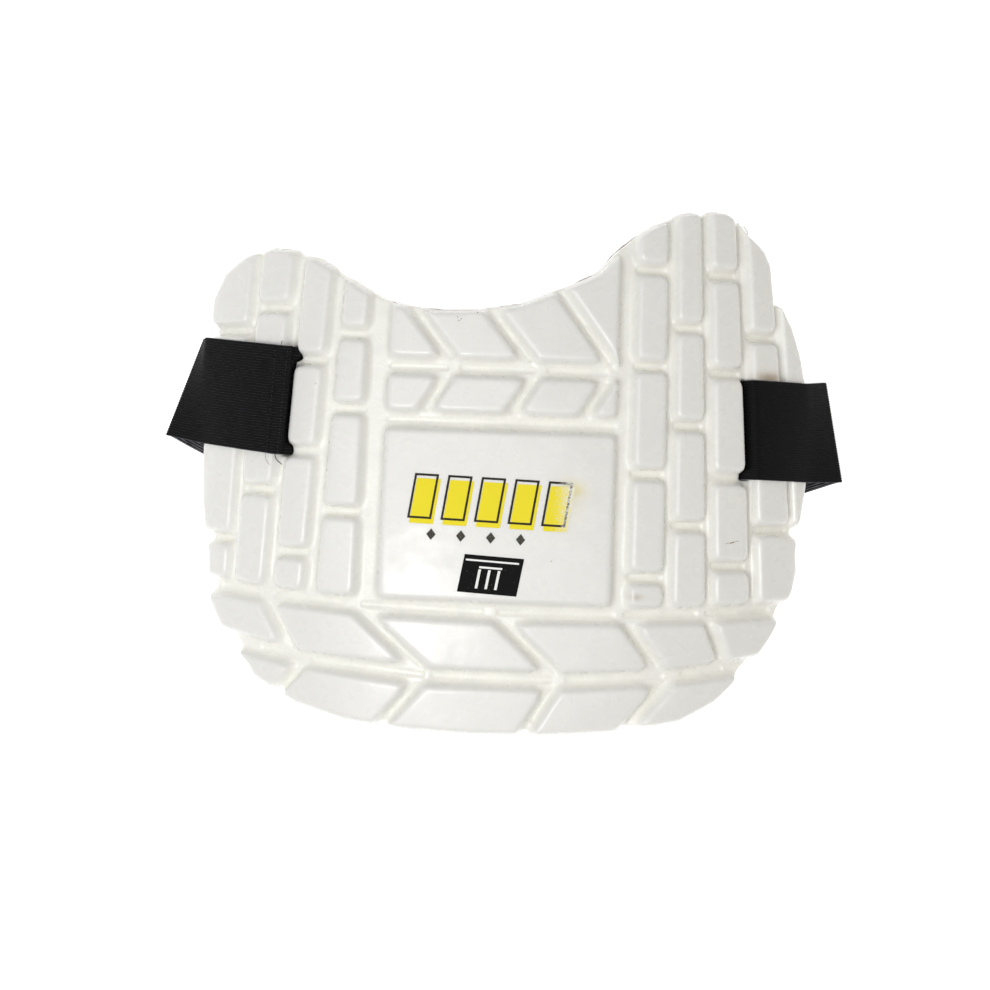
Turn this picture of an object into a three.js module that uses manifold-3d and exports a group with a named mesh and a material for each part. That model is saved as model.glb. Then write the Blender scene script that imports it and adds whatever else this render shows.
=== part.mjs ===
// A youth cricket chest guard, lying front up on its folded strap. Millimetres, +Z up, +Y towards the neck.
// The foam is laid out flat as s (across the chest), y (up the chest) and h (out of the chest, from the
// floor of the grooves), and then bent to the curve of the chest.
import * as THREE from "three";
import { mergeVertices } from "three/addons/utils/BufferGeometryUtils.js";
import Module from "manifold-3d";

const wasm = await Module();
wasm.setup();

// Driving sizes
const HALF_WIDTH = 170.5; // middle of the chest to the side edge, along the curve
const HALF_HEIGHT = 135; // middle of the chest to the lower edge
const CENTRE_RADIUS = 400; // shallow curve across the middle
const CENTRE_REACH = 57; // how far that curve runs to each side
const SIDE_RADIUS = 180; // closer curve round the ribs
const CROWN_RADIUS = 850; // slight curve from neck to waist
const BASE = 7.5; // foam under the grooves
const BLOCK = 5.5; // height of the blocks
const WALL_LEAN = 2.1; // how far a block's wall leans in
const EDGE_ROUND = 1.2; // softened top edge of a block
const CORNER = 5.2; // corner radius at a block's foot
const SCALLOP = 1.3; // the base plate stops this far inside the blocks
const NECK_LIP = 1; // but along the neck it stands out under them
const UNDER_ROUND = 1.5; // softened lower edge of the rim
const WAIST = 3.5; // how far the rim draws in where a groove runs out
const GROOVE = 6; // groove between two columns of blocks
const CROSS_GROOVE = 7; // groove between two blocks of a column
const BAND_GROOVE = 9.6; // groove between two bands
const CHANNEL_SHARE = 0.9; // moulded channel along a groove, as a share of the groove's floor
const CHANNEL_DEPTH = 1.1;
const LINING = 2.5; // cloth-faced pad behind the foam
const LINING_INSET = 4; // it stops short of the rim
const STRAP_WIDTH = 51;
const STRAP = 1.6; // thickness of the elastic
const TAB = 25; // end of the elastic sewn down behind each slot
const SEWN_END = 24; // hemmed end that lies on top at the left slot
const FIT_GAP = 0.3; // clearance between pieces that touch
const SLOT_EASE = 0.9; // clearance round the elastic in its slot
const SLOT_FLARE = 3; // a slot is this much wider where a cross groove runs into it
const CHORD = 0.38; // how far a facet may stand off the curve

// Finishes
const FOAM_WHITE = { color: "#ecebe6", roughness: 0.42, metalness: 0 };
const LINING_GREY = { color: "#8d8580", roughness: 0.95, metalness: 0 };
const ELASTIC_BLACK = { color: "#17171a", roughness: 0.85, metalness: 0 };

// The rim, clockwise from the left of the neck: s and y as shares of HALF_WIDTH and HALF_HEIGHT.
// neck marks the stretch where the lining comes out to the edge.
const RIM = [
  { s: -0.352, y: 0.626, neck: 1 },
  { s: -0.164, y: 0.604, neck: 1 },
  { s: 0.023, y: 0.634, neck: 1 },
  { s: 0.136, y: 0.697, neck: 1 },
  { s: 0.245, y: 0.753, neck: 1 },
  { s: 0.328, y: 0.867, neck: 1 },
  { s: 0.457, y: 0.989, neck: 0.5 },
  { s: 0.581, y: 1.032, neck: 0 },
  { s: 0.697, y: 1.008, neck: 0 },
  { s: 0.732, y: 0.943, neck: 0 },
  { s: 0.777, y: 0.914, neck: 0 },
  { s: 0.833, y: 0.8, neck: 0 },
  { s: 0.852, y: 0.692, neck: 0 },
  { s: 0.909, y: 0.607, neck: 0 },
  { s: 0.962, y: 0.444, neck: 0 },
  { s: 0.988, y: 0.259, neck: 0 },
  { s: 0.996, y: 0.074, neck: 0 },
  { s: 0.976, y: -0.119, neck: 0 },
  { s: 0.95, y: -0.241, neck: 0 },
  { s: 0.964, y: -0.315, neck: 0 },
  { s: 0.939, y: -0.437, neck: 0 },
  { s: 0.869, y: -0.585, neck: 0 },
  { s: 0.743, y: -0.764, neck: 0 },
  { s: 0.592, y: -0.898, neck: 0 },
  { s: 0.372, y: -0.959, neck: 0 },
  { s: 0, y: -0.984, neck: 0 },
  { s: -0.293, y: -0.973, neck: 0 },
  { s: -0.54, y: -0.93, neck: 0 },
  { s: -0.756, y: -0.815, neck: 0 },
  { s: -0.805, y: -0.735, neck: 0 },
  { s: -0.88, y: -0.652, neck: 0 },
  { s: -0.957, y: -0.489, neck: 0 },
  { s: -0.956, y: -0.352, neck: 0 },
  { s: -0.979, y: -0.244, neck: 0 },
  { s: -1, y: 0.037, neck: 0 },
  { s: -0.982, y: 0.37, neck: 0 },
  { s: -0.985, y: 0.607, neck: 0 },
  { s: -0.917, y: 0.761, neck: 0 },
  { s: -0.782, y: 0.831, neck: 0 },
  { s: -0.624, y: 0.822, neck: 0 },
  { s: -0.478, y: 0.713, neck: 0.5 },
];
const RIM_STEPS = 60;

// Grooves between the columns of blocks, leaning outwards: s at the upper and the lower level, as shares of
// HALF_WIDTH, and the width in shares of GROOVE.
const UPPER_LEVEL = 0.74;
const LOWER_LEVEL = -0.444;
const SEAMS = {
  left_1: { upper: -0.794, lower: -0.854, width: 1 },
  left_2: { upper: -0.645, lower: -0.711, width: 1.2 },
  left_3: { upper: -0.513, lower: -0.573, width: 1.33 },
  left_4: { upper: -0.383, lower: -0.399, width: 2.1 },
  right_5: { upper: 0.345, lower: 0.348, width: 1.6 },
  right_4: { upper: 0.477, lower: 0.492, width: 0.95 },
  right_3: { upper: 0.586, lower: 0.628, width: 1 },
  right_2: { upper: 0.711, lower: 0.785, width: 1.17 },
  right_1: { upper: 0.83, lower: 0.955, width: 0.8 },
};

// Grooves between the bands: y at the middle and how much it has risen at each side edge, in shares of
// HALF_HEIGHT.
const BAND_SEAMS = {
  yoke: { middle: 0.389, left: 0, right: 0 },
  panel: { middle: 0.189, left: 0, right: 0 },
  waist: { middle: -0.519, left: 0.067, right: 0.045 },
  hem: { middle: -0.77, left: 0.14, right: 0.122 },
};

// Columns of blocks: the seams at both sides (none is the rim) and the y of the cross grooves, in shares of
// HALF_HEIGHT. A column runs from the rim, or from its top, down to its bottom or the waist seam.
const COLUMNS = [
  { right: "left_1", cuts: [0.517, 0.126, -0.28] },
  { left: "left_1", right: "left_2", cuts: [0.601, 0.252, -0.089] },
  { left: "left_2", right: "left_3", cuts: [0.404, 0.061, -0.322] },
  { left: "left_3", right: "left_4", cuts: [0.505, 0.224, -0.161] },
  { left: "right_5", right: "right_4", cuts: [0.782, 0.419, 0.016, -0.371] },
  { left: "right_4", right: "right_3", cuts: [0.57, 0.202, -0.172] },
  { left: "right_3", right: "right_2", cuts: [0.778, 0.407, 0.013, -0.32] },
  { left: "right_2", right: "right_1", cuts: [0.553, 0.19], bottom: -0.18 },
  { left: "right_1", cuts: [], top: 0.7, bottom: -0.18 },
  { left: "right_2", cuts: [], top: -0.18 },
];

// Bands across the guard: the seams that bound them, and their slanting grooves, s at the upper and lower
// side in shares of HALF_WIDTH. The level is used where a side is the rim.
const BANDS = [
  { left: "left_4", right: "right_5", bottom: "yoke", level: 0.593,
    slants: [[-0.279, -0.149], [-0.05, 0.084], [0.2, 0.321]] },
  { left: "left_4", right: "right_5", top: "yoke", bottom: "panel",
    slants: [[-0.162, -0.264], [0.096, -0.009], [0.31, 0.208]] },
  { left: "left_4", right: "right_5", top: "panel", bottom: "waist", slants: [] },
  { top: "waist", bottom: "hem",
    slants: [[-0.733, -0.612], [-0.442, -0.199], [-0.026, 0.194], [0.352, 0.496], [0.615, 0.696]] },
  { top: "hem", level: -0.963,
    slants: [[-0.57, -0.768], [-0.218, -0.35], [0.176, 0.082], [0.525, 0.362]] },
];

// The strap at each side: its slot's seam and middle, its width there in shares of STRAP_WIDTH, which ends of
// the slot are flared (lower, upper), where the strap's two edges cross the rim (s and y), and its slanted
// crease beside the rim (x in shares of the guard's half width seen from above, y as before).
const STRAP_SIDES = {
  left: { seam: "left_2", out: -1, middle: 0.247, width: 1.065, flares: [1, 1],
    rim: { upper: [-0.976, 0.486], lower: [-0.982, 0.083] },
    crease: { upper: [-1.022, 0.488], lower: [-1.137, 0.109] } },
  right: { seam: "right_2", out: 1, middle: 0.199, width: 0.985, flares: [1, 0],
    rim: { upper: [0.953, 0.387], lower: [0.974, 0.011] },
    crease: { upper: [1.062, 0.401], lower: [1.127, 0.017] } },
};

const BEND = CENTRE_REACH / CENTRE_RADIUS; // angle where the side curve takes over

// Distance from the middle, drop and tilt of the chest curve at arc length s.
function chestCurve(s) {
  const far = Math.max(0, Math.abs(s) - CENTRE_REACH);
  const near = Math.abs(s) - far;
  const tilt = near / CENTRE_RADIUS + far / SIDE_RADIUS;
  const first = near / CENTRE_RADIUS;
  const x = CENTRE_RADIUS * Math.sin(first) + SIDE_RADIUS * (Math.sin(tilt) - Math.sin(first));
  const drop = CENTRE_RADIUS * (1 - Math.cos(first)) + SIDE_RADIUS * (Math.cos(first) - Math.cos(tilt));
  return { x: Math.sign(s) * x, drop, tilt: Math.sign(s) * tilt };
}

// Bends a point of the flat layout to the chest. The middle of the groove floor is z = 0.
function bend(s, y, h) {
  const { x, drop, tilt } = chestCurve(s);
  const normal = new THREE.Vector3(Math.sin(tilt), (Math.cos(tilt) * y) / CROWN_RADIUS, Math.cos(tilt));
  const foot = new THREE.Vector3(x, y, -drop - (y * y) / (2 * CROWN_RADIUS));
  return foot.addScaledVector(normal.normalize(), h);
}

function solid(points, faces) {
  const vertProperties = new Float32Array(points.flatMap((p) => [p.x, p.y, p.z]));
  const triVerts = new Uint32Array(faces.flat());
  return new wasm.Manifold(new wasm.Mesh({ numProp: 3, vertProperties, triVerts }));
}

// A solid through closed rings that have as many corners each. The first and last ring close on a point.
function lofted(rings, start, end) {
  const n = rings[0].length;
  const points = [...rings.flat(), start, end];
  const faces = [];
  for (let k = 0; k < n; k++) {
    const next = (k + 1) % n;
    faces.push([points.length - 2, next, k]);
    faces.push([points.length - 1, (rings.length - 1) * n + k, (rings.length - 1) * n + next]);
    for (let i = 0; i < rings.length - 1; i++) {
      const [a, b] = [i * n + k, i * n + next];
      faces.push([a, b, b + n], [a, b + n, a + n]);
    }
  }
  return solid(points, faces);
}

const middleOf = (points) =>
  points.reduce((sum, p) => sum.add(p), points[0].clone().multiplyScalar(0)).divideScalar(points.length);

// A bar through sections with flat ends.
const bar = (sections) => lofted(sections, middleOf(sections[0]), middleOf(sections[sections.length - 1]));

// Steps at which a facet stands CHORD off the curve.
const stepOn = (radius) => Math.sqrt(8 * CHORD * radius);
const CENTRE_STEP = stepOn(CENTRE_RADIUS);
const SIDE_STEP = stepOn(SIDE_RADIUS);
const CROWN_STEP = stepOn(CROWN_RADIUS);

// A layer of the bent guard between two heights, wider than the guard.
function layer(low, high) {
  const across = Math.ceil((HALF_WIDTH - CENTRE_REACH) / SIDE_STEP) + 1;
  const near = Math.round(CENTRE_REACH / CENTRE_STEP);
  const along = Math.ceil((2 * HALF_HEIGHT) / CROWN_STEP) + 1;
  const sheet = new THREE.BoxGeometry(2 * (near + across), along, high - low, 2 * (near + across), along, 1);
  sheet.deleteAttribute("normal");
  sheet.deleteAttribute("uv");
  const box = mergeVertices(sheet);
  const at = box.attributes.position;
  const points = Array.from({ length: at.count }, (_, i) => {
    const column = Math.round(Math.abs(at.getX(i)));
    const far = Math.max(0, column - near);
    const s = Math.sign(at.getX(i)) * ((column - far) * (CENTRE_REACH / near) + far * SIDE_STEP);
    return bend(s, at.getY(i) * CROWN_STEP, at.getZ(i) + (low + high) / 2);
  });
  const corners = Array.from(box.index.array);
  const faces = Array.from({ length: corners.length / 3 }, (_, i) => corners.slice(3 * i, 3 * i + 3));
  return solid(points, faces);
}

// Moves a counterclockwise ring inwards, by one distance or by one for each point.
function inset(ring, distance) {
  return ring.map((p, i) => {
    const before = ring[(i + ring.length - 1) % ring.length];
    const after = ring[(i + 1) % ring.length];
    const [d, e] = [p.clone().sub(before).normalize(), after.clone().sub(p).normalize()];
    const inward = new THREE.Vector2(-d.y - e.y, d.x + e.x);
    const reach = typeof distance === "number" ? distance : distance[i];
    return p.clone().addScaledVector(inward, reach / (1 + d.dot(e)));
  });
}

// A cutter with the ring's outline, drawn in or out at each height of its profile.
function cutter(ring, profile) {
  const centre = middleOf(ring);
  const half = Math.max(...ring.map((p) => p.distanceTo(centre)));
  const bulge = 2 + (half * half) / (2 * SIDE_RADIUS);
  const rings = profile.map(({ height, draw }) => inset(ring, draw).map((p) => bend(p.x, p.y, height)));
  const apex = (height) => bend(centre.x, centre.y, height);
  return lofted(rings, apex(profile[0].height - bulge), apex(profile[profile.length - 1].height + bulge));
}

// Keeps the part of a closed outline that lies left of the line from a to b.
function keepLeft(outline, a, b) {
  const side = (p) => (b.x - a.x) * (p.y - a.y) - (b.y - a.y) * (p.x - a.x);
  return outline.flatMap((p, i) => {
    const q = outline[(i + 1) % outline.length];
    const [here, there] = [side(p), side(q)];
    const kept = here >= 0 ? [p] : [];
    if (here >= 0 !== there >= 0) kept.push(p.clone().lerp(q, here / (here - there)));
    return kept;
  });
}

// Turn of a ring at point i, as the cosine between its two edges.
function straightness(ring, i) {
  const p = ring[i];
  const d = p.clone().sub(ring[(i + ring.length - 1) % ring.length]).normalize();
  return d.dot(ring[(i + 1) % ring.length].clone().sub(p).normalize());
}

const NEARLY_STRAIGHT = Math.cos(THREE.MathUtils.degToRad(28));

// Drops points of a gentle curve that crowd a neighbour.
function thinned(ring, spacing) {
  return ring.filter((p, i) => {
    const before = ring[(i + ring.length - 1) % ring.length];
    const after = ring[(i + 1) % ring.length];
    const crowded = Math.min(p.distanceTo(before), p.distanceTo(after)) < spacing;
    return !(crowded && straightness(ring, i) > NEARLY_STRAIGHT);
  });
}

// Rounds the sharp corners of a ring, each with three points.
function rounded(ring, radius) {
  return ring.flatMap((p, i) => {
    const turn = Math.acos(THREE.MathUtils.clamp(straightness(ring, i), -1, 1));
    if (Math.cos(turn) > NEARLY_STRAIGHT) return [p];
    const before = ring[(i + ring.length - 1) % ring.length];
    const after = ring[(i + 1) % ring.length];
    const room = 0.45 * Math.min(p.distanceTo(before), p.distanceTo(after));
    const back = Math.min(room, radius * Math.tan(turn / 2));
    const a = p.clone().add(before.clone().sub(p).setLength(back));
    const b = p.clone().add(after.clone().sub(p).setLength(back));
    return [a, middleOf([a, b]).lerp(p, 0.5), b];
  });
}

// Splits long edges, so that a ring follows the curve of the chest.
function followed(ring) {
  return ring.flatMap((p, i) => {
    const q = ring[(i + 1) % ring.length];
    const middle = Math.abs(p.x + q.x) / 2;
    const across = Math.abs(p.x - q.x) / (middle < CENTRE_REACH ? CENTRE_STEP : SIDE_STEP);
    const along = Math.abs(p.y - q.y) / CROWN_STEP;
    const parts = Math.max(1, Math.ceil(Math.max(across, along)));
    return Array.from({ length: parts }, (_, k) => p.clone().lerp(q, k / parts));
  });
}

const join = (bodies) => bodies.reduce((whole, body) => whole.add(body));

// Outline of the rim, counterclockwise, with the share of the lining that reaches each point.
const rimCurve = new THREE.CatmullRomCurve3(
  RIM.map(({ s, y, neck }) => new THREE.Vector3(s * HALF_WIDTH, y * HALF_HEIGHT, neck)),
  true,
  "centripetal",
);
const rimPoints = rimCurve.getPoints(RIM_STEPS).slice(0, RIM_STEPS).reverse();
const rim = rimPoints.map((p) => new THREE.Vector2(p.x, p.y));

// A distance from the rim that is one value along the sides and another along the neck.
const alongRim = (side, neck) => rimPoints.map((p) => side * (1 - p.z) + neck * p.z);

// A line of the layout with the width of the groove along it.
const seamLine = (name) => ({
  a: new THREE.Vector2(SEAMS[name].lower * HALF_WIDTH, LOWER_LEVEL * HALF_HEIGHT),
  b: new THREE.Vector2(SEAMS[name].upper * HALF_WIDTH, UPPER_LEVEL * HALF_HEIGHT),
  width: SEAMS[name].width * GROOVE,
});
function bandSeamAt(name, s) {
  const { middle, left, right } = BAND_SEAMS[name];
  return HALF_HEIGHT * (middle + (s < 0 ? left : right) * (s / HALF_WIDTH) ** 2);
}

// Where an upright line meets the height y.
const crossing = (line, y) => line.a.x + ((line.b.x - line.a.x) * (y - line.a.y)) / (line.b.y - line.a.y);

// The rim's own side at height y, as an upright line without width.
function rimLine(out, y) {
  const meets = rim.flatMap((p, i) => {
    const q = rim[(i + 1) % rim.length];
    return p.y > y === q.y > y ? [] : [p.clone().lerp(q, (y - p.y) / (q.y - p.y)).x];
  });
  const s = out * Math.max(...meets.map((x) => out * x));
  return { a: new THREE.Vector2(s, y - 1), b: new THREE.Vector2(s, y + 1), width: 0, isRim: true };
}

// A block bounded by its grooves. The upright lines run upwards, the others to the right.
function blockRing({ left, right, top, bottom }) {
  let ring = rim;
  const trim = (line, turned) => {
    if (!line || line.isRim) return;
    const d = line.b.clone().sub(line.a).normalize();
    const aside = new THREE.Vector2(-d.y, d.x).multiplyScalar(line.width / 2 - WALL_LEAN);
    if (turned) aside.negate();
    const [a, b] = [line.a.clone().add(aside), line.b.clone().add(aside)];
    ring = turned ? keepLeft(ring, b, a) : keepLeft(ring, a, b);
  };
  trim(left, true);
  trim(right, false);
  trim(top, true);
  trim(bottom, false);
  return followed(rounded(thinned(ring, 0.9 * CORNER), CORNER));
}

// A block's wall goes on below the groove floor, and at the rim it turns in again towards the underside.
const FOOT_DEPTH = 0.15 * BASE;
const FOOT_SPREAD = (WALL_LEAN * FOOT_DEPTH) / (BLOCK - EDGE_ROUND);
const WALL_DEPTH = 0.92 * BASE;
const WALL_TUCK = 0.9;
const RIM_DEPTH = 0.8 * BASE; // the base plate is widest here
const LARGE = 30; // half length of a block whose top needs one more ring to follow the curve

function block(ring) {
  const centre = middleOf(ring);
  const half = Math.max(...ring.map((p) => p.distanceTo(centre)));
  const at = (outline, height) => outline.map((p) => bend(p.x, p.y, height));
  const top = inset(ring, WALL_LEAN + EDGE_ROUND);
  const rings = [
    at(inset(ring, WALL_TUCK), -WALL_DEPTH),
    at(inset(ring, -FOOT_SPREAD), -FOOT_DEPTH),
    at(inset(ring, WALL_LEAN), BLOCK - EDGE_ROUND),
    at(top, BLOCK),
    ...(half > LARGE ? [at(top.map((p) => centre.clone().lerp(p, 0.5)), BLOCK)] : []),
  ];
  return lofted(rings, bend(centre.x, centre.y, -0.6 * BASE), bend(centre.x, centre.y, BLOCK));
}

// A moulded channel along the floor of a groove, from a to b.
function channel(a, b, groove) {
  const d = b.clone().sub(a);
  const length = d.length();
  const run = (CHANNEL_SHARE * (groove - 2 * WALL_LEAN)) / 2;
  if (length < 4 * run) return [];
  d.normalize();
  const aside = new THREE.Vector2(-d.y, d.x);
  const steps = Math.ceil(length / CENTRE_STEP);
  const stations = Array.from({ length: steps + 1 }, (_, k) => (k / steps) * length);
  const sections = stations.map((at) =>
    [[-1, CHANNEL_DEPTH], [0, -CHANNEL_DEPTH], [1, CHANNEL_DEPTH]].map(([side, h]) => {
      const p = a.clone().addScaledVector(d, at).addScaledVector(aside, side * run);
      return bend(p.x, p.y, h);
    }),
  );
  return [bar(sections)];
}

// The channel over a block, in the groove that bounds its top.
function topChannel({ left, right, top }) {
  if (!top) return [];
  const clear = (line) => (line.isRim ? 2 * WAIST : 0.45 * line.width);
  const y = (top.a.y + top.b.y) / 2;
  const from = crossing(left, y) + clear(left);
  const to = crossing(right, y) - clear(right);
  const slope = (top.b.y - top.a.y) / (top.b.x - top.a.x);
  const at = (s) => new THREE.Vector2(s, top.a.y + slope * (s - top.a.x));
  return from < to ? channel(at(from), at(to), top.width) : [];
}

// All blocks, each with the lines that bound it.
function layout() {
  const cells = [];
  const level = (y, width) => ({
    a: new THREE.Vector2(-HALF_WIDTH, y * HALF_HEIGHT),
    b: new THREE.Vector2(HALF_WIDTH, y * HALF_HEIGHT),
    width,
  });
  const chord = (name, left, right) => {
    if (!name) return undefined;
    const y = HALF_HEIGHT * BAND_SEAMS[name].middle;
    const [s, t] = [crossing(left, y), crossing(right, y)];
    return {
      a: new THREE.Vector2(s, bandSeamAt(name, s)),
      b: new THREE.Vector2(t, bandSeamAt(name, t)),
      width: BAND_GROOVE,
    };
  };
  for (const { left, right, cuts, top, bottom } of COLUMNS) {
    const levels = [top, ...cuts, bottom];
    for (let i = 0; i < levels.length - 1; i++) {
      const y = HALF_HEIGHT * (levels[i] ?? cuts[0] ?? bottom);
      const sides = {
        left: left ? seamLine(left) : rimLine(-1, y),
        right: right ? seamLine(right) : rimLine(1, y),
      };
      const isLow = levels[i + 1] === undefined;
      cells.push({
        ...sides,
        top: levels[i] === undefined ? undefined : level(levels[i], CROSS_GROOVE),
        bottom: isLow ? chord("waist", sides.left, sides.right) : level(levels[i + 1], CROSS_GROOVE),
      });
    }
  }
  for (const { left: first, right: last, top, bottom, level: reach, slants } of BANDS) {
    const upper = (s) => (top ? bandSeamAt(top, s) : reach * HALF_HEIGHT);
    const lower = (s) => (bottom ? bandSeamAt(bottom, s) : reach * HALF_HEIGHT);
    const slantLines = slants.map(([high, low]) => ({
      a: new THREE.Vector2(low * HALF_WIDTH, lower(low * HALF_WIDTH)),
      b: new THREE.Vector2(high * HALF_WIDTH, upper(high * HALF_WIDTH)),
      width: CROSS_GROOVE,
      isSlant: true,
    }));
    const edgeY = HALF_HEIGHT * (top ? BAND_SEAMS[top].middle : reach);
    const lines = [
      first ? seamLine(first) : rimLine(-1, edgeY),
      ...slantLines,
      last ? seamLine(last) : rimLine(1, edgeY),
    ];
    for (let i = 0; i < lines.length - 1; i++) {
      const [left, right] = [lines[i], lines[i + 1]];
      cells.push({ left, right, top: chord(top, left, right), bottom: chord(bottom, left, right) });
    }
  }
  return cells;
}

// The two edges of the strap where it passes through its slot, from the lower to the upper one.
function slotEnds({ seam, middle, width }, ease) {
  const half = (width * STRAP_WIDTH) / 2 + ease;
  const at = (y) => new THREE.Vector2(crossing(seamLine(seam), y), y);
  return [at(middle * HALF_HEIGHT - half), at(middle * HALF_HEIGHT + half)];
}

function slotCutter(side) {
  const [low, high] = slotEnds(side, SLOT_EASE);
  const half = STRAP / 2 + SLOT_EASE;
  const [bottom, top] = [-2 * (BASE + LINING), 2 * BLOCK];
  const [wideLow, wideHigh] = side.flares.map((flare) => flare * SLOT_FLARE);
  const stations = [[0, wideLow], [0.1, wideLow], [0.14, 0], [0.86, 0], [0.9, wideHigh], [1, wideHigh]];
  const sections = stations.map(([t, wider]) => {
    const p = low.clone().lerp(high, t);
    const [a, b] = side.out < 0 ? [-half, half + wider] : [-half - wider, half];
    return [[a, bottom], [b, bottom], [b, top], [a, top]].map(([s, h]) => bend(p.x + s, p.y, h));
  });
  return bar(sections.reverse());
}

const slots = join(Object.values(STRAP_SIDES).map(slotCutter));

function foamShell() {
  const cells = layout();
  const blocks = cells.map((cell) => block(blockRing(cell)));
  const under = 2 * UNDER_ROUND;
  const plate = cutter(rim, [
    { height: -RIM_DEPTH - under, draw: alongRim(SCALLOP + under, under - NECK_LIP) },
    { height: -RIM_DEPTH, draw: alongRim(SCALLOP, -NECK_LIP) },
    { height: RIM_DEPTH, draw: alongRim(2 * WAIST - SCALLOP, NECK_LIP) },
  ]);
  const slantChannel = ({ left }) => {
    if (!left.isSlant) return [];
    const ease = 0.6 * BAND_GROOVE / left.b.distanceTo(left.a);
    return channel(left.a.clone().lerp(left.b, ease), left.b.clone().lerp(left.a, ease), left.width);
  };
  const channels = cells.flatMap((cell) => [...topChannel(cell), ...slantChannel(cell)]);
  return join([layer(-BASE, 0).intersect(plate), ...blocks])
    .subtract(join(channels))
    .subtract(slots);
}

const LINING_TOP = -BASE - FIT_GAP;
const LINING_BACK = LINING_TOP - LINING;

function lining() {
  const around = (height) => ({ height, draw: alongRim(LINING_INSET, -NECK_LIP) });
  const pad = cutter(rim, [around(LINING_BACK - LINING), around(LINING_TOP + LINING)]);
  return layer(LINING_BACK, LINING_TOP).intersect(pad).subtract(slots);
}

// Height of the surface that the guard lies on. The rim clears the strap where it crosses, by FIT_GAP.
function floorHeight() {
  const lowest = (points, height) => Math.min(...points.map((p) => bend(p.x, p.y, height).z));
  const crosses = (p) => Object.values(STRAP_SIDES).some(({ out, rim: { upper, lower } }) =>
    p.x * out > 0 && p.y < (upper[1] + 0.1) * HALF_HEIGHT && p.y > (lower[1] - 0.1) * HALF_HEIGHT);
  const edges = [
    { ring: inset(rim, WALL_TUCK), height: -WALL_DEPTH },
    { ring: inset(rim, LINING_INSET), height: LINING_BACK },
  ];
  const levels = edges.flatMap(({ ring, height }) => [
    lowest(ring, height) - FIT_GAP,
    lowest(ring.filter(crosses), height) - STRAP - FIT_GAP,
  ]);
  return Math.min(...levels);
}

const FLOOR = floorHeight();
const PLAN_HALF = chestCurve(HALF_WIDTH).x;

const ruling = (lower, upper) => ({ lower, upper });
const between = (a, b, t) => ruling(a.lower.clone().lerp(b.lower, t), a.upper.clone().lerp(b.upper, t));
const overBlocks = BLOCK + 2 * FIT_GAP + STRAP / 2;

// The strap's cross lines over the guard, in the flat layout: from its slot (0) to the rim (1).
function acrossGuard(side, t) {
  const [lower, upper] = slotEnds(side, 0);
  const flat = (pair) => new THREE.Vector2(pair[0] * HALF_WIDTH, pair[1] * HALF_HEIGHT);
  return between(ruling(lower, upper), ruling(flat(side.rim.lower), flat(side.rim.upper)), t);
}

// A cross line of the flat layout, moved outwards by a distance and bent at a height.
function raised({ lower, upper }, out, height) {
  return ruling(bend(lower.x + out, lower.y, height), bend(upper.x + out, upper.y, height));
}

// From behind the slot out over the blocks and down to the crease.
function frontRun(side) {
  const slot = acrossGuard(side, 0);
  const behind = LINING_BACK - FIT_GAP - 2 * CHORD - STRAP / 2;
  const shoulder = (side.out * SEAMS[side.seam].width * GROOVE) / 2;
  const crease = creaseAt(side, 1.5 * STRAP + FIT_GAP, 0);
  const rimLine3 = raised(acrossGuard(side, 1), 0, overBlocks);
  return [
    raised(slot, -side.out * TAB, behind),
    raised(slot, -side.out * TAB / 2, behind),
    raised(slot, 0, behind),
    raised(slot, 0, 0.2 * BLOCK),
    raised(slot, shoulder, overBlocks),
    ...[0.2, 0.4, 0.6, 0.8].map((t) => raised(acrossGuard(side, t), 0, overBlocks)),
    rimLine3,
    between(rimLine3, crease, 0.35),
    between(rimLine3, crease, 0.7),
    crease,
  ];
}

// The crease's cross line at a height over the floor, drawn towards the guard by a distance.
function creaseAt({ crease, out }, height, back) {
  const at = ([x, y]) => new THREE.Vector3(x * PLAN_HALF - out * back, y * HALF_HEIGHT, FLOOR + height);
  return ruling(at(crease.lower), at(crease.upper));
}

// The run on the floor bends in its own plane from one crease to the other.
function floorRun() {
  const { left, right } = STRAP_SIDES;
  const [start, end] = [left, right].map((side) => creaseAt(side, STRAP / 2, 0.6 * STRAP));
  const centre = ({ lower, upper }) => lower.clone().lerp(upper, 0.5);
  // A fold turns the strap's way about the crease.
  const folded = (side, line) => {
    const run = centre(raised(acrossGuard(side, 1), 0, 0)).sub(centre(raised(acrossGuard(side, 0), 0, 0)));
    run.z = 0;
    const axis = line.upper.clone().sub(line.lower).normalize();
    return axis.multiplyScalar(2 * run.dot(axis)).sub(run).normalize();
  };
  const span = centre(end).sub(centre(start)).length();
  const [a, b] = [centre(start), centre(end)];
  const reach = 0.36 * span;
  const path = new THREE.CubicBezierCurve3(
    a,
    a.clone().addScaledVector(folded(left, start), reach),
    b.clone().addScaledVector(folded(right, end), reach),
    b,
  );
  const lines = [0.045, 0.11, 0.2, 0.3, 0.4, 0.5, 0.6, 0.7, 0.8, 0.89, 0.955].map((t) => {
    const way = path.getTangentAt(t);
    const half = new THREE.Vector3(-way.y, way.x, 0).setLength(STRAP_WIDTH / 2);
    const p = path.getPointAt(t);
    return ruling(p.clone().sub(half), p.clone().add(half));
  });
  return [start, ...lines, end];
}

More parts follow.
